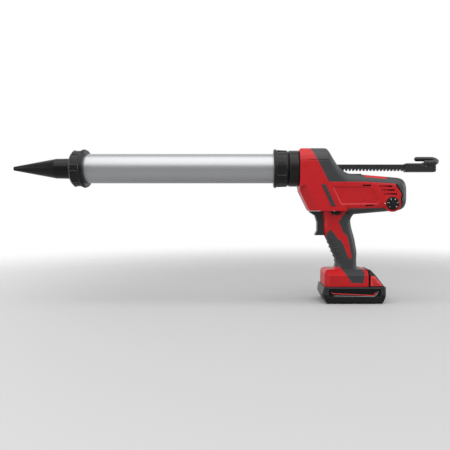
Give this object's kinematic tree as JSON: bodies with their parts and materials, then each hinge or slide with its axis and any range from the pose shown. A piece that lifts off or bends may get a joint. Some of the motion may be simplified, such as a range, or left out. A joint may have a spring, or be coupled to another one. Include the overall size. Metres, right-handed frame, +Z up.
{
  "type": "cordless caulking tool",
  "caption": "Battery caulking tool: pistol grip with motor and gear train, toothed push rod with hook, swivelling aluminium tube with screw cap and nozzle, slide-on battery pack.",
  "frame": {"origin": "on the battery's flat bottom face, in the tool's middle plane, under the handle", "axes": "+X to the rear along the tube, nozzle towards -X; +Z up; the speed dial faces -Y"},
  "size_m": [0.7678, 0.076, 0.2742],
  "materials": {
    "black_plastic": "moulded black plastic, fine satin texture",
    "red_plastic": "moulded red plastic, satin",
    "red_latch": "moulded red plastic, smooth",
    "grey_rubber": "dark grey overmoulded rubber",
    "tube_aluminium": "satin drawn aluminium",
    "black_rack": "blackened steel",
    "case_aluminium": "die-cast",
    "gear_steel": "machined steel",
    "bush_brass": "turned",
    "magnet_iron": "sintered",
    "board_green": "coated board",
    "cell_wrap": "wrapped cells"
  },
  "bodies": {
    "tool_body": {"left_housing": "red_plastic", "right_housing": "red_plastic", "left_overmold": "grey_rubber", "right_overmold": "grey_rubber", "side_bumpers": "grey_rubber", "housing_screws": "gear_steel", "nose_flange": "case_aluminium", "swivel_clip": "gear_steel", "gear_case_left": "case_aluminium", "gear_case_right": "case_aluminium", "rod_guides": "bush_brass", "shaft_bushes": "bush_brass", "ring_gear": "gear_steel", "motor_can": "gear_steel", "motor_magnets": "magnet_iron", "motor_bearings": "gear_steel", "brush_holder": "black_plastic", "rear_bearing_plate": "case_aluminium", "trigger_switch": "black_plastic", "trigger_spring": "gear_steel", "control_board": "board_green", "terminal_block": "black_plastic"},
    "carriage": {"swivel_ring": "black_plastic", "rear_collar": "black_plastic", "carrier_tube": "tube_aluminium"},
    "nozzle_set": {"nozzle": "black_plastic"},
    "cap": {"front_cap": "black_plastic"},
    "rod": {"drive_rack": "black_rack", "piston_plate": "black_plastic", "piston_seal": "grey_rubber", "piston_screw": "gear_steel", "rod_grip": "black_plastic", "grip_pin": "black_rack"},
    "pinion": {"rack_pinion": "gear_steel", "pinion_shaft": "gear_steel"},
    "clutch": {"clutch_plate": "gear_steel"},
    "rotor": {"motor_shaft": "gear_steel", "armature": "gear_steel", "commutator": "bush_brass", "sun_gear": "gear_steel", "motor_fan": "black_plastic"},
    "carrier": {"planet_carrier": "gear_steel", "bevel_pinion": "gear_steel"},
    "planet_1": {"planet_gear_1": "gear_steel"},
    "planet_2": {"planet_gear_2": "gear_steel"},
    "planet_3": {"planet_gear_3": "gear_steel"},
    "cross": {"cross_shaft": "gear_steel", "bevel_gear": "gear_steel", "spur_pinion": "gear_steel"},
    "drive": {"drive_gear": "gear_steel"},
    "trigger_set": {"trigger": "black_plastic"},
    "lock": {"lock_shuttle": "black_plastic"},
    "dial": {"speed_dial": "black_plastic"},
    "battery": {"pack_lower_case": "black_plastic", "pack_upper_case": "black_plastic", "battery_cells": "cell_wrap", "pack_board": "board_green", "latch_springs": "gear_steel"},
    "left_latch": {"latch_button_left": "red_latch"},
    "right_latch": {"latch_button_right": "red_latch"}
  },
  "joints": [
    {"name": "carriage_swivel", "type": "hinge", "parent": "tool_body", "child": "carriage", "pos_m": [-0.105, 0, 0.238], "axis": [1, 0, 0], "continuous": true},
    {"name": "nozzle_off", "type": "slide", "parent": "carriage", "child": "nozzle_set", "axis": [-1, 0, 0], "range_m": [0, 0.1205]},
    {"name": "cap_turn", "type": "hinge", "parent": "nozzle_set", "child": "cap", "pos_m": [-0.49, 0, 0.238], "axis": [-1, 0, 0], "range_deg": [0, 7200]},
    {"name": "rod_slide", "type": "slide", "parent": "tool_body", "child": "rod", "axis": [1, 0, 0], "range_m": [-0.0975, 0.24]},
    {"name": "pinion_spin", "type": "hinge", "parent": "tool_body", "child": "pinion", "pos_m": [-0.062, 0, 0.2237], "axis": [0, 1, 0], "range_deg": [-470, 1150]},
    {"name": "clutch_slide", "type": "slide", "parent": "pinion", "child": "clutch", "axis": [0, 1, 0], "range_m": [0, 0.00055], "stiffness_N_per_m": 400, "springref_m": -0.0005},
    {"name": "motor_spin", "type": "hinge", "parent": "tool_body", "child": "rotor", "pos_m": [0, 0, 0.1937], "axis": [1, 0, 0], "continuous": true},
    {"name": "carrier_spin", "type": "hinge", "parent": "tool_body", "child": "carrier", "pos_m": [-0.034, 0, 0.1937], "axis": [1, 0, 0], "continuous": true},
    {"name": "planet_1_spin", "type": "hinge", "parent": "carrier", "child": "planet_1", "pos_m": [-0.026, 0, 0.2057], "axis": [1, 0, 0], "continuous": true},
    {"name": "planet_2_spin", "type": "hinge", "parent": "carrier", "child": "planet_2", "pos_m": [-0.026, -0.01039, 0.1877], "axis": [1, 0, 0], "continuous": true},
    {"name": "planet_3_spin", "type": "hinge", "parent": "carrier", "child": "planet_3", "pos_m": [-0.026, 0.01039, 0.1877], "axis": [1, 0, 0], "continuous": true},
    {"name": "cross_spin", "type": "hinge", "parent": "tool_body", "child": "cross", "pos_m": [-0.062, 0, 0.1937], "axis": [0, 1, 0], "continuous": true},
    {"name": "drive_gear_spin", "type": "hinge", "parent": "tool_body", "child": "drive", "pos_m": [-0.062, 0, 0.2237], "axis": [0, 1, 0], "continuous": true},
    {"name": "trigger_pull", "type": "slide", "parent": "tool_body", "child": "trigger_set", "axis": [1, 0, 0], "range_m": [0, 0.007], "stiffness_N_per_m": 600, "springref_m": -0.004, "deforming": ["trigger_spring"]},
    {"name": "lock_slide", "type": "slide", "parent": "tool_body", "child": "lock", "axis": [0, 1, 0], "range_m": [-0.002, 0.002]},
    {"name": "dial_turn", "type": "hinge", "parent": "tool_body", "child": "dial", "pos_m": [0.066, -0.0315, 0.1745], "axis": [0, -1, 0], "range_deg": [-135, 135]},
    {"name": "battery_slide", "type": "slide", "parent": "tool_body", "child": "battery", "axis": [1, 0, 0], "range_m": [0, 0.085]},
    {"name": "left_latch_press", "type": "slide", "parent": "battery", "child": "left_latch", "axis": [0, 1, 0], "range_m": [0, 0.0025], "stiffness_N_per_m": 700, "springref_m": -0.002, "deforming": ["latch_springs"]},
    {"name": "right_latch_press", "type": "slide", "parent": "battery", "child": "right_latch", "axis": [0, -1, 0], "range_m": [0, 0.0025], "stiffness_N_per_m": 700, "springref_m": -0.002}
  ],
  "couplings": [
    {"joint": "nozzle_off", "follows": "cap_turn", "m_per_rad": 0.00095493},
    {"joint": "pinion_spin", "follows": "rod_slide", "rad_per_m": 83.333},
    {"joint": "carrier_spin", "follows": "motor_spin", "ratio": 0.25},
    {"joint": "planet_1_spin", "follows": "motor_spin", "ratio": -0.75},
    {"joint": "planet_2_spin", "follows": "motor_spin", "ratio": -0.75},
    {"joint": "planet_3_spin", "follows": "motor_spin", "ratio": -0.75},
    {"joint": "cross_spin", "follows": "motor_spin", "ratio": 0.125},
    {"joint": "drive_gear_spin", "follows": "motor_spin", "ratio": -0.053571}
  ]
}
